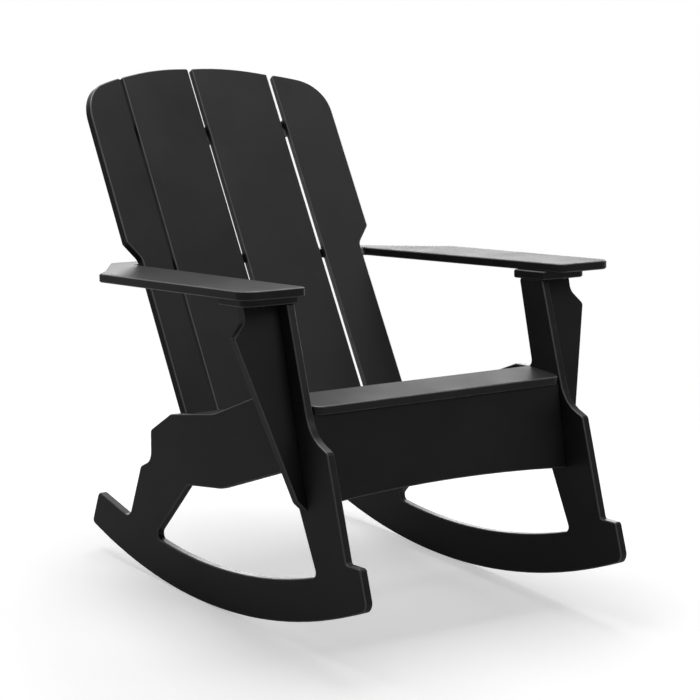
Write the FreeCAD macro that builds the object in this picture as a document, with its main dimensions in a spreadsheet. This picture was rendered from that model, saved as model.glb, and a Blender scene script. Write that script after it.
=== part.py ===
import FreeCAD, Part
import math
import os

# Rocking adirondack chair cut from thick plastic sheet. Millimetres, +Z up, the sitter faces -Y.
# The origin is the point on the floor midway between the two runners, where they touch it.
# Left and right are the sitter's, so the right side panel stands at negative x.

Vector = FreeCAD.Vector
Rotation = FreeCAD.Rotation
Placement = FreeCAD.Placement
X_AXIS = Vector(1, 0, 0)
Y_AXIS = Vector(0, 1, 0)
Z_AXIS = Vector(0, 0, 1)

SIZES = {
    # Sheet stock and fits
    "sheet_thickness": 16.0,
    "arris_chamfer": 2.2,
    "corner_radius": 4.0,
    "end_clearance": 0.5,
    "inner_width": 560.0,
    # The chair is drawn with its runners level, then rolled back on them to where it balances
    "rest_roll_angle": 3.52,
    # Runners and side panels; heights are above the floor, reaches are from the contact point
    "rocker_radius": 1240.0,
    "runner_depth": 75.0,
    "toe_reach": 464.5,
    "toe_height": 158.0,
    "tail_reach": 433.5,
    "leg_foot_reach": 405.2,
    "leg_slope": 0.29,
    "leg_shoulder_height": 338.5,
    "upper_leg_reach": 290.0,
    "upper_leg_width": 65.0,
    "upper_leg_slope": 0.30,
    "upper_leg_back_slope": 0.242,
    "hump_height": 414.0,
    "rear_post_reach": 211.0,
    # Arms: their top is one plane that falls a little to the rear
    "arm_height": 604.5,
    "arm_fall_angle": 1.55,
    "arm_front_reach": 285.0,
    "arm_rear_reach": 366.0,
    "arm_outer": 413.5,
    "arm_inner": 278.8,
    "arm_inner_taper": 0.0276,
    "plate_front_reach": 243.0,
    "plate_rear_reach": 160.0,
    "plate_outer": 385.0,
    "bracket_lean": 13.5,
    "bracket_reach": 351.5,
    "bracket_top_width": 74.0,
    "bracket_shoulder_width": 99.5,
    "bracket_foot_height": 229.0,
    # Seat
    "front_slat_reach": 297.0,
    "front_slat_height": 407.4,
    "front_slat_width": 92.5,
    "front_slat_rise": 5.14,
    "front_slat_corner": 20.0,
    "seat_slat_count": 4.0,
    "seat_slat_width": 75.0,
    "seat_slat_gap": 11.0,
    "seat_start_reach": 197.0,
    "seat_start_height": 411.0,
    "seat_start_angle": 19.6,
    "seat_dish_radius": 1500.0,
    "cleat_depth": 42.0,
    "apron_reach": 348.5,
    "apron_lean": 8.75,
    "apron_foot_height": 238.0,
    "apron_arch_rise": 12.0,
    "block_width": 34.0,
    # Back: parallel slats set round a hollow arc, and the rails behind them
    "back_lean": 28.23,
    "back_reach": 383.2,
    "back_height": 700.0,
    "fan_radius": 966.0,
    "inner_slat_width": 165.0,
    "outer_slat_width": 105.8,
    "back_slat_gap": 11.5,
    "back_top": 293.3,
    "back_top_radius": 628.0,
    "back_top_corner": 85.0,
    "back_foot": -511.0,
    "notch_shoulder": -90.0,
    "notch_width": 260.0,
    "rail_depth": 46.0,
    "upper_rail_station": 157.0,
    "upper_rail_half_angle": 14.8,
    "lower_rail_station": -482.0,
    "lap_inner": 190.0,
    "lap_outer": 225.0,
    # Countersunk screws
    "screw_radius": 2.4,
    "screw_head_radius": 4.6,
    "screw_head_depth": 2.6,
    "screw_bite": 11.0,
    "bracket_bite": 20.0,
}


class Sizes:
    """The same values as attributes, for the places and outlines that are worked out here."""


s = Sizes()
s.__dict__.update(SIZES)

doc = FreeCAD.newDocument("rocking_chair")
sheet = doc.addObject("Spreadsheet::Sheet", "Sizes")
for row, (alias, value) in enumerate(SIZES.items(), start=1):
    sheet.set(f"A{row}", alias)
    sheet.set(f"B{row}", str(value))
    sheet.setAlias(f"B{row}", alias)
doc.recompute()

half_inside = s.inner_width / 2
rocker_centre = (0.0, s.rocker_radius)
posture = Placement(Vector(0, 0, 0), Rotation(X_AXIS, -s.rest_roll_angle), Vector(0, 0, s.rocker_radius))
nodes = {}


# Outlines

def arc_height(y, depth=0.0):
    """Height of the arc that lies this far inside the runner's underside."""
    radius = s.rocker_radius - depth
    return s.rocker_radius - math.sqrt(radius ** 2 - y ** 2)


def unit(x, y):
    length = math.hypot(x, y)
    return x / length, y / length


def meet(first, second):
    """Where two lines, each a point and a direction, cross."""
    (ax, ay), (ux, uy) = first
    (bx, by), (vx, vy) = second
    across = ux * vy - uy * vx
    along = ((bx - ax) * vy - (by - ay) * vx) / across
    return ax + along * ux, ay + along * uy


def tangent(side, point):
    """Direction of travel of one side of an outline at a point on it."""
    start, end, centre = side
    if centre is None:
        return unit(end[0] - start[0], end[1] - start[1])
    rx, ry = point[0] - centre[0], point[1] - centre[1]
    turn = (start[0] - centre[0]) * (end[1] - centre[1]) - (start[1] - centre[1]) * (end[0] - centre[0])
    return unit(-ry, rx) if turn > 0 else unit(ry, -rx)


def corner_centre(before, after, corner, radius):
    """Centre of the arc that rounds a corner, by moving both sides towards it."""
    t1, t2 = tangent(before, corner), tangent(after, corner)
    left = 1.0 if t1[0] * t2[1] - t1[1] * t2[0] > 0 else -1.0
    lines, circles = [], []
    for side, way in ((before, t1), (after, t2)):
        normal = (-way[1] * left, way[0] * left)
        if side[2] is None:
            lines.append(((corner[0] + normal[0] * radius, corner[1] + normal[1] * radius), way))
        else:
            centre = side[2]
            reach = math.hypot(corner[0] - centre[0], corner[1] - centre[1])
            inward = normal[0] * (centre[0] - corner[0]) + normal[1] * (centre[1] - corner[1]) > 0
            circles.append((centre, reach - radius if inward else reach + radius))
    if not circles:
        return meet(lines[0], lines[1])
    (px, py), (ux, uy) = lines[0]
    (cx, cy), reach = circles[0]
    middle = (cx - px) * ux + (cy - py) * uy
    fx, fy = px + middle * ux, py + middle * uy
    half = math.sqrt(reach ** 2 - (fx - cx) ** 2 - (fy - cy) ** 2)
    ends = [(fx + sign * half * ux, fy + sign * half * uy) for sign in (1, -1)]
    return min(ends, key=lambda p: math.hypot(p[0] - corner[0], p[1] - corner[1]))


def foot_on(side, point):
    """The point of a side nearest to a rounding's centre, where the two are tangent."""
    start, end, centre = side
    if centre is None:
        ux, uy = unit(end[0] - start[0], end[1] - start[1])
        along = (point[0] - start[0]) * ux + (point[1] - start[1]) * uy
        return start[0] + along * ux, start[1] + along * uy
    reach = math.hypot(start[0] - centre[0], start[1] - centre[1])
    ux, uy = unit(point[0] - centre[0], point[1] - centre[1])
    return centre[0] + reach * ux, centre[1] + reach * uy


def arc(start, centre, end):
    """A sketch arc of less than half a turn."""
    reach = math.hypot(start[0] - centre[0], start[1] - centre[1])
    ux, uy = unit(start[0] + end[0] - 2 * centre[0], start[1] + end[1] - 2 * centre[1])
    middle = Vector(centre[0] + reach * ux, centre[1] + reach * uy, 0)
    return Part.Arc(Vector(start[0], start[1], 0), middle, Vector(end[0], end[1], 0))


def outline(points):
    """A closed outline from its corners. Each is (x, y), (x, y, rounding radius) or
    (x, y, rounding radius, centre), where centre makes the side to the next corner an arc."""
    full = [(tuple(p) + (0.0, None)[len(p) - 2:])[:4] if len(p) < 4 else tuple(p) for p in points]
    sides = []
    for i, point in enumerate(full):
        following = full[(i + 1) % len(full)]
        sides.append((point[:2], following[:2], point[3]))
    arrive, leave, rounds = [], [], []
    for i, (x, y, radius, _) in enumerate(full):
        if radius <= 0:
            arrive.append((x, y))
            leave.append((x, y))
            rounds.append(None)
            continue
        centre = corner_centre(sides[i - 1], sides[i], (x, y), radius)
        arrive.append(foot_on(sides[i - 1], centre))
        leave.append(foot_on(sides[i], centre))
        rounds.append(arc(arrive[i], centre, leave[i]))
    edges = []
    for i, side in enumerate(sides):
        start, end = leave[i], arrive[(i + 1) % len(full)]
        if rounds[i]:
            edges.append(rounds[i])
        if side[2] is None:
            edges.append(Part.LineSegment(Vector(*start, 0), Vector(*end, 0)))
        else:
            edges.append(arc(start, side[2], end))
    return edges


def mirrored(points, side):
    """An outline's corners for the left side (side 1) or the right side (side -1)."""
    if side > 0:
        return points
    return [(-p[0],) + tuple(p[1:]) for p in points]


def rectangle(x1, y1, x2, y2, radius=0.0):
    return [(x1, y1, radius), (x2, y1, radius), (x2, y2, radius), (x1, y2, radius)]


# Sub-parts

def origin_plane(body, role):
    return next(item for item in body.Origin.OriginFeatures if item.Role == role)


def add_sketch(body, name, role, loops):
    sketch = body.newObject("Sketcher::SketchObject", name)
    sketch.AttachmentSupport = (origin_plane(body, role), [""])
    sketch.MapMode = "FlatFace"
    for edges in loops:
        sketch.addGeometry(edges, False)
    return sketch


def face_edges(shape, normal):
    """Names of the edges that lie in the two broad faces of a board."""
    names = []
    for i, edge in enumerate(shape.Edges, start=1):
        depths = [point.dot(normal) for point in edge.discretize(3)]
        if max(depths) - min(depths) < 1e-6:
            names.append(f"Edge{i}")
    return names


def board(label, points, placement, openings=(), role="XY_Plane", eased=True):
    """A board of the sheet stock: its outline padded to the thickness, its arrises eased."""
    body = doc.addObject("PartDesign::Body", label)
    body.Label = label
    loops = [outline(points)] + [outline(opening) for opening in openings]
    sketch = add_sketch(body, label + "_outline", role, loops)
    pad = body.newObject("PartDesign::Pad", label + "_pad")
    pad.Profile = sketch
    pad.setExpression("Length", "Sizes.sheet_thickness")
    sketch.Visibility = False
    doc.recompute()
    if eased:
        normal = X_AXIS if role == "YZ_Plane" else Vector(0, 0, 1)
        arrises = body.newObject("PartDesign::Chamfer", label + "_arrises")
        arrises.Base = (pad, face_edges(pad.Shape, normal))
        arrises.setExpression("Size", "Sizes.arris_chamfer")
    body.Placement = posture.multiply(placement)
    nodes[label] = body
    return body


def shifted(frame, x=0.0, y=0.0, z=0.0):
    """A frame moved along its own axes."""
    return frame.multiply(Placement(Vector(x, y, z), Rotation()))


def cut(label, tool):
    """Take a tool's shape out of a sub-part, which keeps its name."""
    base = nodes[label]
    base.Label = label + "_blank"
    result = doc.addObject("Part::Cut", label + "_cut")
    result.Base = base
    result.Tool = tool
    result.Label = label
    nodes[label] = result


def space(name, frame, low, high):
    """A box between two corners given in a frame, used to trim boards that meet at an angle."""
    box = doc.addObject("Part::Box", name)
    box.Length, box.Width, box.Height = high - low
    box.Placement = posture.multiply(frame).multiply(Placement(low, Rotation()))
    return box


def screws(label, places, fixes):
    """Countersunk screws as one group. A place is the middle of the head, the way in and the length.
    The boards that they fix get holes of the screws' own size."""
    solids = []
    for i, (head, way, length) in enumerate(places, start=1):
        spot = posture.multiply(Placement(head, Rotation(Z_AXIS, way)))
        shank = doc.addObject("Part::Cylinder", f"{label}_shank_{i}")
        shank.setExpression("Radius", "Sizes.screw_radius")
        shank.Height = length
        shank.Placement = spot
        cone = doc.addObject("Part::Cone", f"{label}_head_{i}")
        cone.setExpression("Radius1", "Sizes.screw_head_radius")
        cone.setExpression("Radius2", "Sizes.screw_radius")
        cone.setExpression("Height", "Sizes.screw_head_depth")
        cone.Placement = spot
        screw = doc.addObject("Part::Fuse", f"{label}_{i}")
        screw.Base = shank
        screw.Tool = cone
        solids.append(screw)
    group = doc.addObject("Part::Compound", label)
    group.Label = label
    group.Links = solids
    nodes[label] = group
    for name in fixes:
        cut(name, group)


SIDES = (("left", 1), ("right", -1))


# Frames that boards are drawn in

arm_rotation = Rotation(X_AXIS, -s.arm_fall_angle)
arm_frame = Placement(Vector(0, 0, s.arm_height), arm_rotation)
arm_fall = math.tan(math.radians(s.arm_fall_angle))
back_frame = Placement(Vector(0, s.back_reach, s.back_height), Rotation(X_AXIS, 90 - s.back_lean))
bracket_frame = Placement(Vector(0, -s.bracket_reach, 0), Rotation(X_AXIS, 90 - s.bracket_lean))
apron_frame = Placement(Vector(0, -s.apron_reach, 0), Rotation(X_AXIS, 90 - s.apron_lean))
front_slat_frame = Placement(
    Vector(0, -s.front_slat_reach, s.front_slat_height), Rotation(X_AXIS, s.front_slat_rise))


plate_line = ((0.0, s.arm_height - 2 * s.sheet_thickness / math.cos(math.radians(s.arm_fall_angle))),
              unit(1.0, -arm_fall))


def slat_frame(side, centre):
    """Frame on the front face of a back slat, this far round the hollow arc."""
    angle = centre / s.fan_radius
    spot = Vector(side * s.fan_radius * math.sin(angle), 0, s.fan_radius * (1 - math.cos(angle)))
    return back_frame.multiply(Placement(spot, Rotation(Y_AXIS, -side * math.degrees(angle))))


def rail_frame(station):
    """Frame of a rail square to the back: x across, y to the rear, z up the slats."""
    turn = Placement(Vector(0, station - s.sheet_thickness / 2, 0), Rotation(X_AXIS, -90))
    return back_frame.multiply(turn)


inner_centre = s.back_slat_gap / 2 + s.inner_slat_width / 2
outer_start = s.back_slat_gap * 1.5 + s.inner_slat_width
outer_centre = outer_start + s.outer_slat_width / 2
outer_end = outer_start + s.outer_slat_width


# Side panels

def panel_outline():
    """The side view, counter-clockwise from the foot of the toe, with y to the rear and z up."""
    level = (1.0, 0.0)
    foot = (-s.leg_foot_reach, s.toe_height)
    lower_front = (foot, (s.leg_slope, 1.0))
    upper_front = ((-s.upper_leg_reach, s.hump_height - 10), (s.upper_leg_slope, 1.0))
    shoulder = meet(lower_front, ((0.0, s.leg_shoulder_height), level))
    step = meet(upper_front, ((0.0, s.leg_shoulder_height + 21.3), level))
    top_front = meet(upper_front, plate_line)
    top_back = (top_front[0] + s.upper_leg_width, top_front[1] - s.upper_leg_width * arm_fall)
    hump_front = meet((top_back, (s.upper_leg_back_slope, 1.0)), ((0.0, s.hump_height), level))
    post = s.rear_post_reach
    return [
        (-s.toe_reach, arc_height(s.toe_reach), 18, rocker_centre),
        (s.tail_reach, arc_height(s.tail_reach), 10),
        (s.tail_reach - 26.3, s.runner_depth + 68.5, 11),
        (post + 81, s.runner_depth + 37.4, 20),
        (post + 37.6, s.hump_height - 194.6, 8),
        (post, s.hump_height - 178, 28),
        (post, s.hump_height - 119.4, 8),
        (post - 71, s.hump_height - 79, 25),
        (-6.3, s.hump_height - 57.8, 80),
        (-162.5, s.hump_height, 10),
        hump_front + (12,),
        top_back + (s.corner_radius,),
        top_front + (s.corner_radius,),
        step + (70,),
        shoulder + (9,),
        foot + (6,),
        (-s.toe_reach + 20.4, s.toe_height, 6),
    ]


def window_outline():
    """The long opening between the seat's edge and the runner."""
    low = s.runner_depth
    return [
        (-321.7, arc_height(321.7, low), 10, rocker_centre),
        (200.5, arc_height(200.5, low), 10),
        (83.8, s.hump_height - 203.8, 15),
        (-29.8, s.hump_height - 191.5, 70),
        (-240.4, s.hump_height - 122.9, 13),
    ]


for name, side in SIDES:
    start = half_inside if side > 0 else -half_inside - s.sheet_thickness
    board(f"side_panel_{name}", panel_outline(), Placement(Vector(start, 0, 0), Rotation()),
          openings=[window_outline()], role="YZ_Plane")


# Seat

def seat_frame(index):
    """Frame on the top of a seat slat, on the hollow that the slats follow."""
    reach = s.seat_slat_width / 2 + index * (s.seat_slat_width + s.seat_slat_gap)
    start = math.radians(s.seat_start_angle)
    angle = start - reach / s.seat_dish_radius
    y = -s.seat_start_reach + s.seat_dish_radius * (math.sin(start) - math.sin(angle))
    z = s.seat_start_height + s.seat_dish_radius * (math.cos(start) - math.cos(angle))
    return Placement(Vector(0, y, z), Rotation(X_AXIS, -math.degrees(angle)))


slat_half_length = half_inside - s.end_clearance
board("seat_slat_1",
      [(-slat_half_length, 0, s.front_slat_corner), (slat_half_length, 0, s.front_slat_corner),
       (slat_half_length, s.front_slat_width), (-slat_half_length, s.front_slat_width)],
      shifted(front_slat_frame, z=-s.sheet_thickness))
for index in range(int(s.seat_slat_count)):
    board(f"seat_slat_{index + 2}",
          rectangle(-slat_half_length, -s.seat_slat_width / 2, slat_half_length, s.seat_slat_width / 2),
          shifted(seat_frame(index), z=-s.sheet_thickness))


# Apron and its corner blocks

apron_stretch = 1 / math.cos(math.radians(s.apron_lean))
apron_foot = s.apron_foot_height * apron_stretch
apron_top = s.front_slat_height * apron_stretch
arch_radius = (slat_half_length ** 2 + s.apron_arch_rise ** 2) / (2 * s.apron_arch_rise)
arch_centre = (0.0, apron_foot + s.apron_arch_rise - arch_radius)
board("front_apron",
      [(-slat_half_length, apron_foot, s.corner_radius, arch_centre),
       (slat_half_length, apron_foot, s.corner_radius),
       (slat_half_length, apron_top), (-slat_half_length, apron_top)],
      shifted(apron_frame, z=-s.sheet_thickness))
under_front_slat = space("under_front_slat", front_slat_frame,
                         Vector(-half_inside, -60, -s.sheet_thickness), Vector(half_inside, 160, 60))
cut("front_apron", under_front_slat)


# Seat cleats, with a ledge at the rear for the lower back rail

def slat_underside(frame):
    """A slat's underside seen from the side, as a point and a direction."""
    base = frame.multVec(Vector(0, 0, -s.sheet_thickness))
    way = frame.Rotation.multVec(Y_AXIS)
    return (base.y, base.z), (way.y, way.z)


def back_point(station, rearward):
    """Side view place of a point this far up the back and this far behind its front."""
    spot = back_frame.multVec(Vector(0, station, -rearward))
    return spot.y, spot.z


def outer_rear(x):
    """How far behind the back's front line the outer slats' rear faces lie at this x."""
    angle = outer_centre / s.fan_radius
    rise = s.fan_radius * (1 - math.cos(angle))
    forward = rise + (math.sin(angle) * (x - s.fan_radius * math.sin(angle)) - s.sheet_thickness) / math.cos(angle)
    return -forward


undersides = [slat_underside(front_slat_frame)]
undersides += [slat_underside(seat_frame(index)) for index in range(int(s.seat_slat_count))]
ledge = s.lower_rail_station - s.sheet_thickness / 2
ledge_back = s.rail_depth - 14
ledge_depth = 26
last_slat = seat_frame(int(s.seat_slat_count) - 1).multVec(
    Vector(0, s.seat_slat_width / 2, -s.sheet_thickness))
apron_rear = apron_frame.multVec(Vector(0, 0, -s.sheet_thickness - s.end_clearance))
apron_way = apron_frame.Rotation.multVec(Y_AXIS)
apron_line = ((apron_rear.y, apron_rear.z), (apron_way.y, apron_way.z))
front_top = meet(apron_line, undersides[0])


def lowered(line, depth):
    """The same line moved square to itself, into the board below it."""
    (y, z), (wy, wz) = line
    return (y + wz * depth, z - wy * depth), (wy, wz)


def cleat_outline():
    """Side view of a cleat: faceted to the slats above, with the ledge at its rear."""
    under = [lowered(line, s.cleat_depth) for line in undersides]
    tops = [front_top] + [meet(a, b) for a, b in zip(undersides, undersides[1:])]
    foot = back_point(ledge - ledge_depth, outer_rear(half_inside) - 36)
    return [
        meet(apron_line, under[0]) + (s.corner_radius,),
        meet(under[0], under[1]) + (20,),
        foot + (20,),
        back_point(ledge - ledge_depth, ledge_back) + (8,),
        back_point(ledge, ledge_back) + (s.corner_radius,),
        back_point(ledge, outer_rear(half_inside) - s.end_clearance),
        (last_slat.y, last_slat.z),
    ] + tops[::-1]


for name, side in SIDES:
    start = half_inside - s.sheet_thickness if side > 0 else -half_inside
    board(f"seat_cleat_{name}", cleat_outline(), Placement(Vector(start, 0, 0), Rotation()),
          role="YZ_Plane", eased=False)

block_top = meet(apron_line, lowered(undersides[0], s.cleat_depth + s.end_clearance))
for name, side in SIDES:
    block = doc.addObject("Part::Box", f"apron_block_{name}")
    block.Label = f"apron_block_{name}"
    block.setExpression("Length", "Sizes.block_width")
    block.setExpression("Height", "Sizes.block_width")
    reach = block_top[1] * apron_stretch - apron_foot - s.apron_arch_rise - 10
    block.Width = reach
    start = half_inside - s.block_width if side > 0 else -half_inside
    block.Placement = posture.multiply(shifted(apron_frame, start, apron_foot + s.apron_arch_rise,
                                               -s.sheet_thickness - s.block_width))
    nodes[block.Label] = block


# Back slats

def top_point(u):
    """Height up the back of the arched top, this far from the middle."""
    return s.back_top - s.back_top_radius + math.sqrt(s.back_top_radius ** 2 - u ** 2)


def back_slat(label, side, start, end, notched):
    centre = (start + end) / 2
    arch = (-centre, s.back_top - s.back_top_radius)
    outer_radius = s.back_top_corner if notched else s.corner_radius
    points = [(start - centre, s.back_foot)]
    if notched:
        notch = s.notch_width - centre
        points += [
            (notch, s.back_foot),
            (notch, s.notch_shoulder - 33, 20),
            (end - centre, s.notch_shoulder, 8),
        ]
    else:
        points += [(end - centre, s.back_foot)]
    points += [
        (end - centre, top_point(end), outer_radius, arch),
        (start - centre, top_point(start), s.corner_radius),
    ]
    if side < 0:
        arch = (centre, arch[1])
        points = [(-p[0],) + p[1:3] + ((arch,) if len(p) > 3 else ()) for p in points]
    board(label, points, shifted(slat_frame(side, centre), z=-s.sheet_thickness))


for name, side in SIDES:
    back_slat(f"back_slat_inner_{name}", side, s.back_slat_gap / 2, outer_start - s.back_slat_gap, False)
    back_slat(f"back_slat_outer_{name}", side, outer_start, outer_end, True)


# The space in front of the slats' rear faces, which trims whatever stands behind them

boxes = []
for name, side in SIDES:
    for part, centre, width in (("inner", inner_centre, s.inner_slat_width),
                                ("outer", outer_centre, s.outer_slat_width)):
        half = width / 2 + s.back_slat_gap / 2
        inward, outward = half, half
        if part == "outer":
            outward = s.notch_width + s.back_slat_gap - centre
        low_x, high_x = (-inward, outward) if side > 0 else (-outward, inward)
        boxes.append(space(f"slat_space_{part}_{name}", slat_frame(side, centre),
                           Vector(low_x, s.back_foot - 100, -s.sheet_thickness),
                           Vector(high_x, s.back_top + 100, 200)))
slat_space = doc.addObject("Part::MultiFuse", "slat_space")
slat_space.Shapes = boxes


# Rails square to the back

def rail_rear(centre, side=1):
    """The straight rear edge of a rail behind one slat, as a point and a direction."""
    angle = centre / s.fan_radius
    reach = s.fan_radius + s.sheet_thickness + s.rail_depth
    spot = (side * reach * math.sin(angle), reach * math.cos(angle) - s.fan_radius)
    return spot, (math.cos(angle), -side * math.sin(angle))


def rail_outline(end_side, end_round):
    """A rail seen along the slats: its left end is the given side line, its rear edge has four facets."""
    inner, outer = rail_rear(inner_centre), rail_rear(outer_centre)
    middle = meet(inner, rail_rear(inner_centre, -1))
    bend = meet(inner, outer)
    end = meet(outer, end_side)
    front = meet(((0.0, outer_rear(half_inside)), (1.0, 0.0)), end_side)
    left = [front, end + (end_round,), bend, middle]
    right = [(-p[0],) + tuple(p[1:]) for p in left[:-1]]
    return left + right[::-1]


end_angle = math.radians(s.upper_rail_half_angle)
upper_end = ((0.0, -s.fan_radius), (math.sin(end_angle), math.cos(end_angle)))
board("upper_back_rail", rail_outline(upper_end, 14), rail_frame(s.upper_rail_station))
cut("upper_back_rail", slat_space)
lower_end = ((slat_half_length, 0.0), (0.0, 1.0))
board("lower_back_rail", rail_outline(lower_end, 0), rail_frame(s.lower_rail_station), eased=False)
cut("lower_back_rail", slat_space)


# Arms, their rail behind the slats, and the plates and brackets that carry them

def arm_inner(y):
    return s.arm_inner - s.arm_inner_taper * y


def rear_plane(x, level, centre=outer_centre):
    """Where a left slat's rear face crosses a level of the arms, measured along the arms."""
    frame = slat_frame(1, centre)
    normal = frame.Rotation.multVec(Vector(0, 0, 1))
    base = frame.multVec(Vector(0, 0, -s.sheet_thickness))
    start = arm_frame.multVec(Vector(x, 0, level))
    way = arm_rotation.multVec(Y_AXIS)
    return (base - start).dot(normal) / way.dot(normal)


hook_front = rear_plane(s.arm_inner, -s.sheet_thickness)
hook_inner_front = rear_plane(s.lap_inner, -s.sheet_thickness)
front, rear = -s.arm_front_reach, s.arm_rear_reach
arm_points = [
    (arm_inner(front), front, 13),
    (s.arm_outer, front, 30),
    (s.arm_outer, rear - 176, 14),
    (s.arm_outer - 34, rear - 139, 30),
    (arm_inner(rear) + 17, rear, 10),
    (s.lap_inner, rear),
    (s.lap_inner, hook_inner_front),
    (arm_inner(hook_front), hook_front, 5),
]
for name, side in SIDES:
    board(f"arm_{name}", mirrored(arm_points, side), shifted(arm_frame, z=-s.sheet_thickness))
    cut(f"arm_{name}", slat_space)
    low_x, high_x = (0, s.lap_outer) if side > 0 else (-s.lap_outer, 0)
    lap = space(f"lap_space_{name}", arm_frame,
                Vector(low_x, 200, -1.5 * s.sheet_thickness),
                Vector(high_x, 500, -0.5 * s.sheet_thickness))
    cut(f"arm_{name}", lap)

middle_front = rear_plane(s.lap_outer, -s.sheet_thickness) - 10
board("arm_back_rail", rectangle(-s.lap_outer, middle_front, s.lap_outer, rear),
      shifted(arm_frame, z=-s.sheet_thickness))
cut("arm_back_rail", slat_space)
for name, side in SIDES:
    low_x, high_x = (s.lap_inner, s.inner_width) if side > 0 else (-s.inner_width, -s.lap_inner)
    lap = space(f"rail_lap_space_{name}", arm_frame,
                Vector(low_x, 200, -0.5 * s.sheet_thickness), Vector(high_x, 500, s.sheet_thickness))
    cut("arm_back_rail", lap)

plate_inner = half_inside - 2
plate_points = [
    (plate_inner, -s.plate_front_reach),
    (s.plate_outer, -s.plate_front_reach, 18),
    (s.plate_outer, -s.plate_rear_reach),
    (plate_inner, -s.plate_rear_reach),
]
bracket_stretch = 1 / math.cos(math.radians(s.bracket_lean))
panel_face = half_inside + s.sheet_thickness
bracket_top = (s.arm_height - s.sheet_thickness) * bracket_stretch
bracket_shoulder = bracket_top - 64
bracket_foot = s.bracket_foot_height * bracket_stretch
bracket_points = [
    (panel_face, bracket_foot),
    (panel_face + 17.5, bracket_foot + 18, 15),
    (panel_face + s.bracket_shoulder_width, bracket_shoulder, 8),
    (panel_face + s.bracket_top_width, bracket_shoulder + 27, 22),
    (panel_face + s.bracket_top_width, bracket_top),
    (panel_face, bracket_top),
]
for name, side in SIDES:
    board(f"arm_plate_{name}", mirrored(plate_points, side), shifted(arm_frame, z=-2 * s.sheet_thickness))
    board(f"arm_bracket_{name}", mirrored(bracket_points, side),
          shifted(bracket_frame, z=-s.sheet_thickness))
    under_plate = space(f"under_plate_{name}", arm_frame,
                        Vector(-s.arm_outer, -400, -2 * s.sheet_thickness), Vector(s.arm_outer, 0, 60))
    cut(f"arm_bracket_{name}", under_plate)


# Screws

places = []
for name, side in SIDES:
    for height in (60, 130):
        head = bracket_frame.multVec(
            Vector(side * half_inside, bracket_foot + height, -s.sheet_thickness / 2))
        places.append((head, Vector(side, 0, 0), s.sheet_thickness + s.bracket_bite))
screws("bracket_screws", places, [f"{piece}_{name}" for piece in ("side_panel", "arm_bracket")
                                  for name, _ in SIDES])


# Checks, and one file for each sub-part

doc.recompute()
for item in doc.Objects:
    if "Invalid" in item.State or "Error" in item.State:
        raise RuntimeError(f"{item.Label} did not build: {item.State}")
for label, item in nodes.items():
    if item.Shape.isNull() or not item.Shape.isValid():
        raise RuntimeError(f"{label} has no valid shape")

os.makedirs("parts", exist_ok=True)
for label, item in nodes.items():
    item.Shape.exportStep(f"parts/{label}.step")
print(len(nodes), "sub-parts written")
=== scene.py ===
import math
import bmesh
import bpy
from mathutils import Matrix, Vector
from mathutils.bvhtree import BVHTree


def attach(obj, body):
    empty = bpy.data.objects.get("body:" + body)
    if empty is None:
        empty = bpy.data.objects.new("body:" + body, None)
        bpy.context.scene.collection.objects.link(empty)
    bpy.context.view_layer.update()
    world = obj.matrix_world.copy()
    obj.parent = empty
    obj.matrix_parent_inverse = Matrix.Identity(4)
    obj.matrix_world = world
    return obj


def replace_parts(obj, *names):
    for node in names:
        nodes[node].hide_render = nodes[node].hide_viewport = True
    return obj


# Rocking adirondack chair: every board of black plastic sheet, its routed edges, and its screws.
# Metres; the sitter faces -Y and left is the sitter's left, at positive x.

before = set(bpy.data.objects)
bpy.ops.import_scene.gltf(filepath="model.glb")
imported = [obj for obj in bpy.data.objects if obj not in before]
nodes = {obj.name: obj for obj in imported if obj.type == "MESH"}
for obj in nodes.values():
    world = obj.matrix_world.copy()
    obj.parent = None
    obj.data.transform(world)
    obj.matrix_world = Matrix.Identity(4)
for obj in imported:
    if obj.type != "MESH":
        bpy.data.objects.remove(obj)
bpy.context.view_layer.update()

# The chair is drawn with level runners and stands rolled back on them
ROCKER_RADIUS = 1.240
REST_ROLL = math.radians(3.52)
BACK_LEAN = math.radians(28.23)
ARM_FALL = math.radians(1.55)
ARM_HEIGHT = 0.6045
BACK_REACH = 0.3832
BACK_HEIGHT = 0.700
APRON_REACH = 0.3485
BRACKET_REACH = 0.3515
APRON_LEAN = math.radians(8.75)
BRACKET_LEAN = math.radians(13.5)
SEAT_FALL = math.radians(13)
UPRIGHT_TURN = math.radians(90)
FAN_RADIUS = 0.966
INSIDE = 0.280
SHEET = 0.016

# Back slats: middles and half widths round the hollow arc, and how far their long edges reach
INNER_SLAT = 0.08825
OUTER_SLAT = 0.23515
INNER_HALF = 0.0825
OUTER_HALF = 0.0529
EDGE_BAND = 0.0035
GAP_REACH = 0.0018
RAIL_END = 0.215
RAIL_CUT = 0.012

# A board's faces are told apart by how they stand to its broad faces
WELD = 1e-6
BROAD = 0.999
ARRIS = 0.25
SMOOTH_WALL = math.cos(math.radians(25))

posture = (Matrix.Translation((0, 0, ROCKER_RADIUS)) @ Matrix.Rotation(-REST_ROLL, 4, "X")
           @ Matrix.Translation((0, 0, -ROCKER_RADIUS)))


def turned(y, z, angle):
    """A frame of the drawn chair, turned about the chair's width."""
    return posture @ Matrix.Translation((0, y, z)) @ Matrix.Rotation(angle, 4, "X")


arm_frame = turned(0, ARM_HEIGHT, -ARM_FALL)
back_frame = turned(BACK_REACH, BACK_HEIGHT, UPRIGHT_TURN - BACK_LEAN)
apron_frame = turned(-APRON_REACH, 0, UPRIGHT_TURN - APRON_LEAN)
bracket_frame = turned(-BRACKET_REACH, 0, UPRIGHT_TURN - BRACKET_LEAN)


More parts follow.
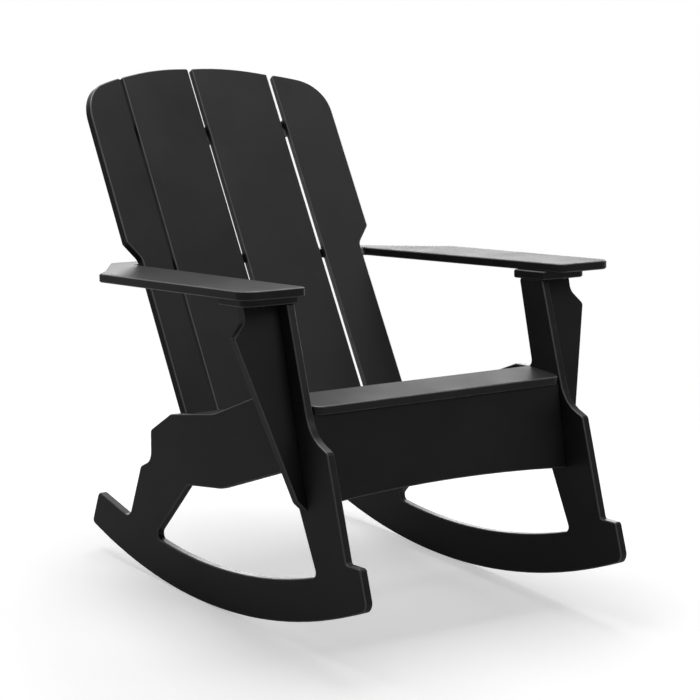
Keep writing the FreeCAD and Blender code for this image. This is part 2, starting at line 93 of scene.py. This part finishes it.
def slat_frame(side, round_arc):
    """Frame on the front of a back slat, this far round the hollow arc of the back."""
    angle = round_arc / FAN_RADIUS
    spot = (side * FAN_RADIUS * math.sin(angle), 0, FAN_RADIUS * (1 - math.cos(angle)))
    return back_frame @ Matrix.Translation(spot) @ Matrix.Rotation(-side * angle, 4, "Y")


# Material building

def new_material(name):
    material = bpy.data.materials.new(name)
    material.use_nodes = True
    tree = material.node_tree
    tree.nodes.clear()
    return material, tree


def node(tree, kind, inputs=None, **settings):
    made = tree.nodes.new(kind)
    for key, value in settings.items():
        setattr(made, key, value)
    for key, value in (inputs or {}).items():
        if isinstance(value, bpy.types.NodeSocket):
            tree.links.new(value, made.inputs[key])
        else:
            made.inputs[key].default_value = value
    return made


def spread(tree, value, low, high, to_low=0.0, to_high=1.0):
    """A value carried from one range to another and held at its ends."""
    made = node(tree, "ShaderNodeMapRange", {"Value": value, "From Min": low, "From Max": high,
                                             "To Min": to_low, "To Max": to_high})
    return made.outputs["Result"]


def blend_colour(tree, factor, first, second):
    made = node(tree, "ShaderNodeMix", data_type="RGBA")
    for socket, value in ((made.inputs[0], factor), (made.inputs[6], first), (made.inputs[7], second)):
        if isinstance(value, bpy.types.NodeSocket):
            tree.links.new(value, socket)
        else:
            socket.default_value = value
    return made.outputs[2]


def new_group(name, inputs, outputs):
    tree = bpy.data.node_groups.new(name, "ShaderNodeTree")
    for label, kind, value in inputs:
        socket = tree.interface.new_socket(name=label, in_out="INPUT", socket_type=kind)
        if value is not None:
            socket.default_value = value
    for label, kind in outputs:
        tree.interface.new_socket(name=label, in_out="OUTPUT", socket_type=kind)
    return tree, tree.nodes.new("NodeGroupInput").outputs, tree.nodes.new("NodeGroupOutput").inputs


def noise(tree, place, scale, detail=2.0, roughness=0.5):
    made = node(tree, "ShaderNodeTexNoise", {"Vector": place, "Scale": scale, "Detail": detail,
                                             "Roughness": roughness})
    return made.outputs["Fac"]


def outdoor_handling():
    """Signs of use: cloudy patches, hairline scuffs and fine dust on what faces up."""
    tree, given, made = new_group(
        "outdoor_handling",
        [("Place", "NodeSocketVector", None), ("Patch Scale", "NodeSocketFloat", 9.0),
         ("Scuff Scale", "NodeSocketFloat", 42.0)],
        [("Patches", "NodeSocketFloat"), ("Scuffs", "NodeSocketFloat"), ("Dust", "NodeSocketFloat")])
    place = given["Place"]
    patches = noise(tree, place, given["Patch Scale"], 4.0, 0.6)
    tree.links.new(spread(tree, patches, 0.3, 0.7), made["Patches"])
    lengthwise = node(tree, "ShaderNodeMapping", {"Vector": place, "Rotation": (0.35, 0.2, 0.6),
                                                  "Scale": (1.0, 14.0, 14.0)})
    lines = noise(tree, lengthwise.outputs["Vector"], given["Scuff Scale"], 2.0, 0.55)
    hair = spread(tree, lines, 0.66, 0.74)
    places = spread(tree, noise(tree, place, 5.0, 1.0), 0.55, 0.7)
    scuffs = node(tree, "ShaderNodeMath", {0: hair, 1: places}, operation="MULTIPLY")
    tree.links.new(scuffs.outputs[0], made["Scuffs"])
    facing = node(tree, "ShaderNodeNewGeometry")
    upward = node(tree, "ShaderNodeSeparateXYZ", {"Vector": facing.outputs["True Normal"]})
    flat = spread(tree, upward.outputs["Z"], 0.75, 1.0)
    specks = spread(tree, noise(tree, place, 900.0, 2.0), 0.5, 0.72, 0.25, 1.0)
    dust = node(tree, "ShaderNodeMath", {0: flat, 1: specks}, operation="MULTIPLY")
    tree.links.new(dust.outputs[0], made["Dust"])
    return tree


def orange_peel():
    """Height of the skin that a pressed sheet keeps: low round pimples on a slow wave."""
    tree, given, made = new_group(
        "orange_peel",
        [("Place", "NodeSocketVector", None), ("Pimple Scale", "NodeSocketFloat", 420.0)],
        [("Height", "NodeSocketFloat")])
    fine = noise(tree, given["Place"], given["Pimple Scale"], 1.5, 0.45)
    wave = noise(tree, given["Place"], 26.0, 1.0)
    both = node(tree, "ShaderNodeMath", {0: fine, 1: 0.7}, operation="MULTIPLY")
    height = node(tree, "ShaderNodeMath", {0: wave, 1: 0.9, 2: both.outputs[0]}, operation="MULTIPLY_ADD")
    tree.links.new(height.outputs[0], made["Height"])
    return tree


def router_marks():
    """Height of the faint ridges that a router leaves square to a cut edge."""
    tree, given, made = new_group(
        "router_marks", [("Place", "NodeSocketVector", None)], [("Height", "NodeSocketFloat")])
    ridges = noise(tree, given["Place"], 520.0, 1.0)
    chatter = noise(tree, given["Place"], 95.0, 2.0)
    height = node(tree, "ShaderNodeMath", {0: chatter, 1: 0.8, 2: ridges}, operation="MULTIPLY_ADD")
    tree.links.new(height.outputs[0], made["Height"])
    return tree


handling_group = outdoor_handling()
peel_group = orange_peel()
router_group = router_marks()

SHEET_BLACK = (0.0150, 0.0150, 0.0165, 1.0)
SHEET_WORN = (0.0230, 0.0232, 0.0250, 1.0)
SCUFF_GREY = (0.060, 0.060, 0.062, 1.0)
DUST_GREY = (0.105, 0.103, 0.098, 1.0)
ROUTED_BLACK = (0.0130, 0.0130, 0.0142, 1.0)
ROUTED_RUBBED = (0.0260, 0.0262, 0.0280, 1.0)
# The arris colours are painted highlight: far paler than the sheet, they stand in for light caught along
# the eased edges
ARRIS_PAINTED_HIGHLIGHT = (0.125, 0.125, 0.130, 1.0)
ARRIS_PAINTED_HIGHLIGHT_PALE = (0.175, 0.175, 0.180, 1.0)
STEEL_BRIGHT = (0.52, 0.51, 0.49, 1.0)
STEEL_STAINED = (0.38, 0.365, 0.34, 1.0)


def shader(tree, colour, roughness, normal, **constants):
    """The Principled shader and the output of a material."""
    inputs = {"Base Color": colour, "Roughness": roughness, "Normal": normal}
    inputs.update({key.replace("_", " "): value for key, value in constants.items()})
    surface = node(tree, "ShaderNodeBsdfPrincipled", inputs)
    node(tree, "ShaderNodeOutputMaterial", {"Surface": surface.outputs["BSDF"]})


def object_place(tree):
    return node(tree, "ShaderNodeTexCoord").outputs["Object"]


def handled(tree, place, patch_scale):
    made = node(tree, "ShaderNodeGroup", node_tree=handling_group)
    tree.links.new(place, made.inputs["Place"])
    made.inputs["Patch Scale"].default_value = patch_scale
    return made.outputs


def sheet_face():
    """The broad faces: black all through, with the sheet's pressed skin, satin and a little dusty."""
    material, tree = new_material("sheet_face")
    place = object_place(tree)
    use = handled(tree, place, 9.0)
    colour = blend_colour(tree, use["Patches"], SHEET_BLACK, SHEET_WORN)
    colour = blend_colour(tree, node(tree, "ShaderNodeMath", {0: use["Scuffs"], 1: 0.35},
                                     operation="MULTIPLY").outputs[0], colour, SCUFF_GREY)
    colour = blend_colour(tree, node(tree, "ShaderNodeMath", {0: use["Dust"], 1: 0.16},
                                     operation="MULTIPLY").outputs[0], colour, DUST_GREY)
    roughness = spread(tree, use["Patches"], 0.0, 1.0, 0.43, 0.52)
    peel = tree.nodes.new("ShaderNodeGroup")
    peel.node_tree = peel_group
    tree.links.new(place, peel.inputs["Place"])
    bump = node(tree, "ShaderNodeBump", {"Height": peel.outputs["Height"], "Strength": 0.35,
                                         "Distance": 0.0004})
    shader(tree, colour, roughness, bump.outputs["Normal"], IOR=1.5, Specular_IOR_Level=0.4)
    return material


def sheet_edge(name, turn, squash):
    """Routed edges and arrises: smoother than the skin, ridged square to the edge and rubbed paler."""
    material, tree = new_material(name)
    place = object_place(tree)
    use = handled(tree, place, 24.0)
    rubbed = node(tree, "ShaderNodeMath", {0: use["Patches"], 1: 0.55}, operation="MULTIPLY")
    colour = blend_colour(tree, rubbed.outputs[0], ROUTED_BLACK, ROUTED_RUBBED)
    colour = blend_colour(tree, node(tree, "ShaderNodeMath", {0: use["Scuffs"], 1: 0.5},
                                     operation="MULTIPLY").outputs[0], colour, SCUFF_GREY)
    along = node(tree, "ShaderNodeMapping",
                 {"Vector": place, "Rotation": (turn, 0.0, 0.0), "Scale": squash}, vector_type="TEXTURE")
    marks = tree.nodes.new("ShaderNodeGroup")
    marks.node_tree = router_group
    tree.links.new(along.outputs["Vector"], marks.inputs["Place"])
    bump = node(tree, "ShaderNodeBump", {"Height": marks.outputs["Height"], "Strength": 0.25,
                                         "Distance": 0.0003})
    roughness = spread(tree, use["Patches"], 0.0, 1.0, 0.30, 0.40)
    shader(tree, colour, roughness, bump.outputs["Normal"], IOR=1.5, Specular_IOR_Level=0.5)
    return material


def arris_painted_highlight():
    """The eased arrises: painted paler than the faces as a painted highlight along every edge, with random
    tone and scuffs.
    """
    material, tree = new_material("arris_painted_highlight")
    place = object_place(tree)
    use = handled(tree, place, 30.0)
    colour = blend_colour(tree, use["Patches"], ARRIS_PAINTED_HIGHLIGHT, ARRIS_PAINTED_HIGHLIGHT_PALE)
    colour = blend_colour(tree, use["Scuffs"], colour, SCUFF_GREY)
    grain = noise(tree, place, 700.0, 1.0)
    bump = node(tree, "ShaderNodeBump", {"Height": grain, "Strength": 0.15, "Distance": 0.0002})
    roughness = spread(tree, use["Patches"], 0.0, 1.0, 0.27, 0.36)
    shader(tree, colour, roughness, bump.outputs["Normal"], IOR=1.5, Specular_IOR_Level=0.6)
    return material


def stainless():
    """Screw heads: bright turned steel, slightly stained."""
    material, tree = new_material("stainless_steel")
    place = object_place(tree)
    cloud = noise(tree, place, 260.0, 3.0)
    colour = blend_colour(tree, spread(tree, cloud, 0.35, 0.7), STEEL_BRIGHT, STEEL_STAINED)
    lines = noise(tree, place, 3000.0, 2.0)
    bump = node(tree, "ShaderNodeBump", {"Height": lines, "Strength": 0.15, "Distance": 0.0001})
    shader(tree, colour, spread(tree, cloud, 0.3, 0.7, 0.22, 0.38), bump.outputs["Normal"], Metallic=1.0)
    return material


face_material = sheet_face()
arris_highlight_material = arris_painted_highlight()
LEVEL = (1.0, 1.0, 30.0)
UPRIGHT = (30.0, 1.0, 1.0)
edge_materials = {
    "panel": sheet_edge("panel_edge", 0.0, UPRIGHT),
    "arm": sheet_edge("arm_edge", -ARM_FALL - REST_ROLL, LEVEL),
    "seat": sheet_edge("seat_edge", -SEAT_FALL - REST_ROLL, LEVEL),
    "back": sheet_edge("back_edge", UPRIGHT_TURN - BACK_LEAN - REST_ROLL, LEVEL),
    "rail": sheet_edge("rail_edge", -BACK_LEAN - REST_ROLL, LEVEL),
    "bracket": sheet_edge("bracket_edge", UPRIGHT_TURN - BRACKET_LEAN - REST_ROLL, LEVEL),
}
steel = stainless()

BOARD_EDGES = {
    "side_panel": "panel", "seat_cleat": "panel", "seat_slat": "seat", "arm_bracket": "bracket",
    "front_apron": "bracket", "apron_block": "bracket", "back_slat": "back", "upper_back_rail": "rail",
    "lower_back_rail": "rail", "arm_back_rail": "arm", "arm_plate": "arm", "arm": "arm",
}


def edge_of(name):
    """The routed edge that a board has, by the longest start of its name that is listed."""
    start = max((key for key in BOARD_EDGES if name.startswith(key)), key=len)
    return edge_materials[BOARD_EDGES[start]]


# Boards

def broad_normal(form):
    """Which way a board's broad faces look."""
    areas = []
    for face in form.faces:
        for entry in areas:
            if abs(entry[0].dot(face.normal)) > BROAD:
                entry[1] += face.calc_area()
                break
        else:
            areas.append([face.normal.copy(), face.calc_area()])
    return max(areas, key=lambda entry: entry[1])[0]


def wall_normal(vertex, face, walls):
    """The normal of a cut edge at a corner, carried smoothly round its curves."""
    total = Vector()
    for other in vertex.link_faces:
        if other.index in walls and other.normal.dot(face.normal) > SMOOTH_WALL:
            total += other.normal * other.calc_area()
    return total.normalized() if total.length > 0 else face.normal


def arris_normal(vertex, face, broad_faces, walls):
    """An arris looks like the broad face at one side and like the cut edge at the other."""
    for other in vertex.link_faces:
        if other.index in broad_faces and other.normal.dot(face.normal) > 0:
            return other.normal
    near = [other for other in vertex.link_faces
            if other.index in walls and other.normal.dot(face.normal) > 0]
    if not near:
        return face.normal
    closest = max(near, key=lambda other: other.normal.dot(face.normal))
    return wall_normal(vertex, closest, walls)


def close_slat_gaps(form, name):
    """The slats stand nearer to each other than their solids: their long edges reach into the gaps."""
    side = 1 if name.endswith("left") else -1
    inner = "inner" in name
    middle, half = (INNER_SLAT, INNER_HALF) if inner else (OUTER_SLAT, OUTER_HALF)
    local = slat_frame(side, middle)
    home = local.inverted()
    for edge_side in ((-1, 1) if inner else (-side,)):
        near = [v for v in form.verts if (home @ v.co).x * edge_side > half - EDGE_BAND]
        step = local.to_3x3() @ Vector((edge_side * GAP_REACH, 0, 0))
        bmesh.ops.translate(form, verts=near, vec=step)


def shorten_rail(form):
    """The upper rail ends short of the outer slats' edges."""
    for side in (-1, 1):
        ends = [v for v in form.verts if v.co.x * side > RAIL_END]
        bmesh.ops.translate(form, verts=ends, vec=(-side * RAIL_CUT, 0, 0))


def dress(name):
    """A board of the frame as a clean closed mesh, skin and cut edges apart, its arrises shaded round."""
    form = bmesh.new()
    form.from_mesh(nodes[name].data)
    bmesh.ops.remove_doubles(form, verts=form.verts, dist=WELD)
    if name.startswith("back_slat"):
        close_slat_gaps(form, name)
    if name == "upper_back_rail":
        shorten_rail(form)
    form.normal_update()
    form.faces.index_update()
    broad = broad_normal(form)
    turn = {face.index: abs(face.normal.dot(broad)) for face in form.faces}
    broad_faces = {index for index, value in turn.items() if value > BROAD}
    walls = {index for index, value in turn.items() if value < ARRIS}
    normals = []
    for face in form.faces:
        face.smooth = True
        # Arris faces take the paler arris material, a painted highlight along the edges
        face.material_index = 0 if face.index in broad_faces else 1 if face.index in walls else 2
        for corner in face.loops:
            if face.index in broad_faces:
                normals.append(face.normal.copy())
            elif face.index in walls:
                normals.append(wall_normal(corner.vert, face, walls))
            else:
                normals.append(arris_normal(corner.vert, face, broad_faces, walls))
    mesh = bpy.data.meshes.new(name + "_board")
    form.to_mesh(mesh)
    form.free()
    mesh.normals_split_custom_set(normals)
    mesh.materials.append(face_material)
    mesh.materials.append(edge_of(name))
    mesh.materials.append(arris_highlight_material)
    piece = bpy.data.objects.new(name + "_board", mesh)
    bpy.context.scene.collection.objects.link(piece)
    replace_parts(piece, name)
    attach(piece, "root")
    return piece


for name in sorted(nodes):
    if name != "bracket_screws":
        dress(name)


# Screws

HEAD_STEPS = 24
SOCKET_HALF = 0.0016
SOCKET_DEPTH = 0.0016
BUTTON_SECTION = [(0.0022, 0.0023), (0.0034, 0.00205), (0.0045, 0.0014), (0.0051, 0.0004),
                  (0.0051, -0.0004)]
FLUSH_SECTION = [(0.0022, 0.00012), (0.0043, 0.00012), (0.00455, -0.0001), (0.0024, -0.0024),
                 (0.0024, -0.0300)]


def screw_head(section):
    """A screw head with a hexagon socket, standing on z = 0 and looking up: its section spun round."""
    form = bmesh.new()
    points = [form.verts.new((radius, 0.0, height)) for radius, height in section]
    edges = [form.edges.new(pair) for pair in zip(points, points[1:])]
    bmesh.ops.spin(form, geom=points + edges, angle=2 * math.pi, steps=HEAD_STEPS, axis=(0, 0, 1),
                   cent=(0, 0, 0), use_merge=True, use_duplicate=False)
    bmesh.ops.remove_doubles(form, verts=form.verts, dist=WELD)
    top, inner = section[0][1], section[0][0]
    rim = [v for v in form.verts if abs(v.co.z - top) < WELD and abs(v.co.xy.length - inner) < WELD]
    for vertex in rim:
        angle = math.atan2(vertex.co.y, vertex.co.x) % math.radians(60) - math.radians(30)
        vertex.co.xy *= SOCKET_HALF / math.cos(angle) / inner
    mouth = bmesh.ops.contextual_create(form, geom=rim)["faces"]
    floor = bmesh.ops.extrude_face_region(form, geom=mouth)
    sunk = [item for item in floor["geom"] if isinstance(item, bmesh.types.BMVert)]
    bmesh.ops.translate(form, verts=sunk, vec=(0, 0, -SOCKET_DEPTH))
    bmesh.ops.delete(form, geom=[face for face in mouth if face.is_valid], context="FACES_ONLY")
    low = section[-1][1]
    foot = [v for v in form.verts if abs(v.co.z - low) < WELD]
    bmesh.ops.contextual_create(form, geom=foot)
    bmesh.ops.recalc_face_normals(form, faces=form.faces)
    for face in form.faces:
        face.smooth = True
    for edge in form.edges:
        edge.smooth = len(edge.link_faces) < 2 or edge.calc_face_angle() < math.radians(35)
    mesh = bpy.data.meshes.new("screw_head")
    form.to_mesh(mesh)
    form.free()
    return mesh


button_head = screw_head(BUTTON_SECTION)
flush_head = screw_head(FLUSH_SECTION)
surfaces = {}


def surface_of(name):
    if name not in surfaces:
        mesh = nodes[name].data
        surfaces[name] = BVHTree.FromPolygons([v.co for v in mesh.vertices],
                                              [list(p.vertices) for p in mesh.polygons])
    return surfaces[name]


def seated(name, start, way):
    """Where a screw driven this way from a point meets a board: the spot and the board's normal there."""
    spot, normal, _, _ = surface_of(name).ray_cast(start, way)
    if spot is None:
        raise RuntimeError(f"no seat for a screw on {name}")
    return spot, normal if normal.dot(way) < 0 else -normal


def screw_set(label, head, seats):
    """One piece of many screws. A seat is the spot on a board and the board's normal there."""
    form = bmesh.new()
    for count, (spot, normal) in enumerate(seats):
        known = len(form.verts)
        form.from_mesh(head)
        form.verts.ensure_lookup_table()
        spin = Matrix.Rotation(math.radians(37 * count), 4, "Z")
        stand = Matrix.Translation(spot) @ normal.to_track_quat("Z", "Y").to_matrix().to_4x4() @ spin
        bmesh.ops.transform(form, matrix=stand, verts=form.verts[known:])
    mesh = bpy.data.meshes.new(label)
    form.to_mesh(mesh)
    form.free()
    mesh.materials.append(steel)
    piece = bpy.data.objects.new(label, mesh)
    bpy.context.scene.collection.objects.link(piece)
    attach(piece, "root")
    return piece


def aimed(local, point, way):
    """A point and a direction given in a frame, as the chair stands."""
    return local @ Vector(point), (local.to_3x3() @ Vector(way)).normalized()


SIDES = (("left", 1), ("right", -1))
FORWARD = (0, 0, 1)  # along the third axis of a frame, out of the broad face that shows
RAIL_CLEAR = 0.15


def rail_screws(rail, station, inner_offsets, outer_offsets):
    """Screws from a rail's rear edge into the slats in front of it."""
    places = []
    for _, side in SIDES:
        for middle, offsets in ((INNER_SLAT, inner_offsets), (OUTER_SLAT, outer_offsets)):
            for offset in offsets:
                spot = (side * offset, station, -RAIL_CLEAR)
                places.append(seated(rail, *aimed(slat_frame(side, middle), spot, FORWARD)))
    return places


screw_set("upper_rail_screws", button_head,
          rail_screws("upper_back_rail", 0.157, (-0.048, 0.048), (-0.034,)))
screw_set("lower_rail_screws", button_head,
          rail_screws("lower_back_rail", -0.482, (-0.048, 0.048), (-0.030, 0.024)))

# Screws into the arms' rail and the arms' hooks from behind, and through their lap from below
RAIL_SCREWS = (0.045, 0.131)
HOOK_SCREWS = (0.214, 0.262)
LAP_SCREW = (0.2075, 0.330)
BEHIND_ARMS = 0.6
BELOW_ARMS = 0.1
places = []
for side_name, side in SIDES:
    for x in RAIL_SCREWS:
        behind = (side * x, BEHIND_ARMS, -SHEET / 2)
        places.append(seated("arm_back_rail", *aimed(arm_frame, behind, (0, -1, 0))))
    for x in HOOK_SCREWS:
        behind = (side * x, BEHIND_ARMS, -SHEET * 0.4)
        places.append(seated(f"arm_{side_name}", *aimed(arm_frame, behind, (0, -1, 0))))
    below = (side * LAP_SCREW[0], LAP_SCREW[1], -BELOW_ARMS)
    places.append(seated("arm_back_rail", *aimed(arm_frame, below, FORWARD)))
screw_set("arm_rail_screws", button_head, places)

PLATE_SCREWS = (-0.228, -0.176)
PLATE_MIDDLE = 0.340
places = []
for side_name, side in SIDES:
    for y in PLATE_SCREWS:
        below = (side * PLATE_MIDDLE, y, -BELOW_ARMS)
        places.append(seated(f"arm_plate_{side_name}", *aimed(arm_frame, below, FORWARD)))
screw_set("arm_plate_screws", button_head, places)

# Middle of each seat slat: reach, height and fall, drawn
SEAT_SLATS = ((-0.1615, 0.3989, 18.17), (-0.0791, 0.3744, 14.88), (0.0046, 0.3547, 11.60),
              (0.0893, 0.3398, 8.31))
# Screws through each cleat into the side panel: reach and height, drawn
CLEAT_SCREWS = ((-0.250, 0.3745), (-0.173, 0.3637), (-0.0886, 0.3386), (-0.0028, 0.3185),
                (0.075, 0.3045))
places = []
for side_name, side in SIDES:
    cleat = f"seat_cleat_{side_name}"
    for y, z in CLEAT_SCREWS:
        places.append(seated(cleat, *aimed(posture, (side * 0.1, y, z), (side, 0, 0))))
    for y, z, fall in SEAT_SLATS:
        slat = turned(y, z, -math.radians(fall))
        places.append(seated(cleat, *aimed(slat, (side * (INSIDE - SHEET / 2), 0, -0.2), (0, 0, 1))))
screw_set("cleat_screws", button_head, places)

places = []
for side_name, side in SIDES:
    block = f"apron_block_{side_name}"
    for y in (0.272, 0.312):
        places.append(seated(block, *aimed(apron_frame, (side * 0.263, y, -0.2), (0, 0, 1))))
        places.append(seated(block, *aimed(apron_frame, (side * 0.1, y + 0.012, -0.033), (side, 0, 0))))
screw_set("apron_block_screws", button_head, places)

# Flush screws that hold the brackets, at their holes in the panels' inner faces
BRACKET_FOOT = 0.229 / math.cos(BRACKET_LEAN)
BRACKET_SCREW_HEIGHTS = (0.060, 0.130)
places = []
for side_name, side in SIDES:
    for height in BRACKET_SCREW_HEIGHTS:
        spot = (side * INSIDE, BRACKET_FOOT + height, -SHEET / 2)
        places.append((bracket_frame @ Vector(spot), Vector((-side, 0, 0))))
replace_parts(screw_set("bracket_screw_set", flush_head, places), "bracket_screws")


# Floor, light and camera

def lamp(name, place, target, size, power, tint=(1, 1, 1)):
    light = bpy.data.lights.new(name, "AREA")
    light.shape = "RECTANGLE"
    light.size, light.size_y = size
    light.energy = power
    light.color = tint
    holder = bpy.data.objects.new(name, light)
    bpy.context.scene.collection.objects.link(holder)
    holder.visible_camera = False
    holder.location = place
    holder.rotation_euler = (Vector(target) - Vector(place)).to_track_quat("-Z", "Y").to_euler()
    return holder


# The lit cove: bright behind the chair's far side and dim elsewhere, where dark flags stand. The floor's
# colour for bounced light is painted shade in front of the chair.
COVE_DIM = 0.08
COVE_BRIGHT = 1.0
COVE_WAY = (0.60, 0.80, 0.0)
FLOOR_SEEN = (0.86, 0.86, 0.86, 1.0)
# The floor's colour for bounced light in front of the chair is painted shade, darker than the floor the
# camera sees
FLOOR_PAINTED_SHADE = (0.30, 0.30, 0.30, 1.0)
FLOOR_LIFT = 0.45
FADE_START = 0.8
FADE_END = 2.2
GLOSS_SHARE = 0.12


def background_rays(tree):
    """How much of the white backdrop a ray sees: camera and transmission rays all, glossy ones a share."""
    path = node(tree, "ShaderNodeLightPath")
    straight = node(tree, "ShaderNodeMath", {0: path.outputs["Is Camera Ray"],
                                             1: path.outputs["Is Transmission Ray"]}, operation="MAXIMUM")
    gloss = node(tree, "ShaderNodeMath", {0: path.outputs["Is Glossy Ray"], 1: GLOSS_SHARE},
                 operation="MULTIPLY")
    return node(tree, "ShaderNodeMath", {0: straight.outputs[0], 1: gloss.outputs[0]},
                operation="MAXIMUM").outputs[0]


def floor_material():
    """White floor that keeps the chair's shadow near it and fades into the white backdrop. Light bouncing
    off it in front of the chair takes a darker painted shade than the camera sees.
    """
    material, tree = new_material("studio_floor")
    place = object_place(tree)
    distance = node(tree, "ShaderNodeVectorMath", {0: place}, operation="LENGTH").outputs["Value"]
    far = spread(tree, distance, FADE_START, FADE_END)
    lift = node(tree, "ShaderNodeEmission", {"Color": (1, 1, 1, 1), "Strength": FLOOR_LIFT})
    white = node(tree, "ShaderNodeEmission", {"Color": (1, 1, 1, 1), "Strength": 1.0})
    seen_paint = node(tree, "ShaderNodeBsdfDiffuse", {"Color": FLOOR_SEEN})
    behind = node(tree, "ShaderNodeVectorMath", {0: place, 1: COVE_WAY}, operation="DOT_PRODUCT")
    # Painted shade: light bouncing off the floor in front of the chair takes a darker colour than the
    # camera sees
    cast = blend_colour(tree, spread(tree, behind.outputs["Value"], 0.8, 2.0), FLOOR_PAINTED_SHADE, FLOOR_SEEN)
    bounce_shade_paint = node(tree, "ShaderNodeBsdfDiffuse", {"Color": cast})
    lit = node(tree, "ShaderNodeAddShader", {0: seen_paint.outputs[0], 1: lift.outputs[0]})
    seen = node(tree, "ShaderNodeMixShader", {0: far, 1: lit.outputs[0], 2: white.outputs[0]})
    surface = node(tree, "ShaderNodeMixShader", {0: background_rays(tree), 1: bounce_shade_paint.outputs[0],
                                                 2: seen.outputs[0]})
    node(tree, "ShaderNodeOutputMaterial", {"Surface": surface.outputs[0]})
    return material


form = bmesh.new()
bmesh.ops.create_grid(form, x_segments=8, y_segments=8, size=20.0)
floor_mesh = bpy.data.meshes.new("floor")
form.to_mesh(floor_mesh)
form.free()
floor_mesh.materials.append(floor_material())
floor = bpy.data.objects.new("floor", floor_mesh)
bpy.context.scene.collection.objects.link(floor)

lamp("overhead_softbox", (0.1, 0.7, 2.9), (0, 0, 0.4), (2.6, 2.0), 60)
lamp("rear_strip", (3.0, 4.0, 1.0), (0, 0, 0.5), (3.4, 1.6), 60)
lamp("front_fill", (0.9, -3.0, 3.0), (0, 0.2, 0.6), (2.2, 1.6), 17)

world = bpy.data.worlds.new("studio")
bpy.context.scene.world = world
world.use_nodes = True
tree = world.node_tree
tree.nodes.clear()
toward = node(tree, "ShaderNodeVectorMath", {0: node(tree, "ShaderNodeTexCoord").outputs["Generated"],
                                             1: COVE_WAY}, operation="DOT_PRODUCT")
cove = spread(tree, toward.outputs["Value"], 0.45, 0.95, COVE_DIM, COVE_BRIGHT)
ambient = node(tree, "ShaderNodeBackground", {"Color": (1, 1, 1, 1), "Strength": cove})
backdrop = node(tree, "ShaderNodeBackground", {"Color": (1, 1, 1, 1), "Strength": 1.0})
sky = node(tree, "ShaderNodeMixShader", {0: background_rays(tree), 1: ambient.outputs[0],
                                         2: backdrop.outputs[0]})
node(tree, "ShaderNodeOutputWorld", {"Surface": sky.outputs[0]})

camera_data = bpy.data.cameras.new("camera")
camera_data.lens = 115.04
camera_data.sensor_width = 36.0
camera_data.clip_end = 100.0
camera = bpy.data.objects.new("camera", camera_data)
bpy.context.scene.collection.objects.link(camera)
LOOK = Vector((0.58948, 0.78338, -0.19707)).normalized()
ACROSS = Vector((0.80292, -0.59496, 0.03660)).normalized()
UP = ACROSS.cross(LOOK).normalized()
camera.matrix_world = (Matrix.Translation((-2.4545, -3.3294, 1.2705))
                       @ Matrix((ACROSS, UP, -LOOK)).transposed().to_4x4())
bpy.context.scene.camera = camera
bpy.context.scene.view_settings.view_transform = "Standard"
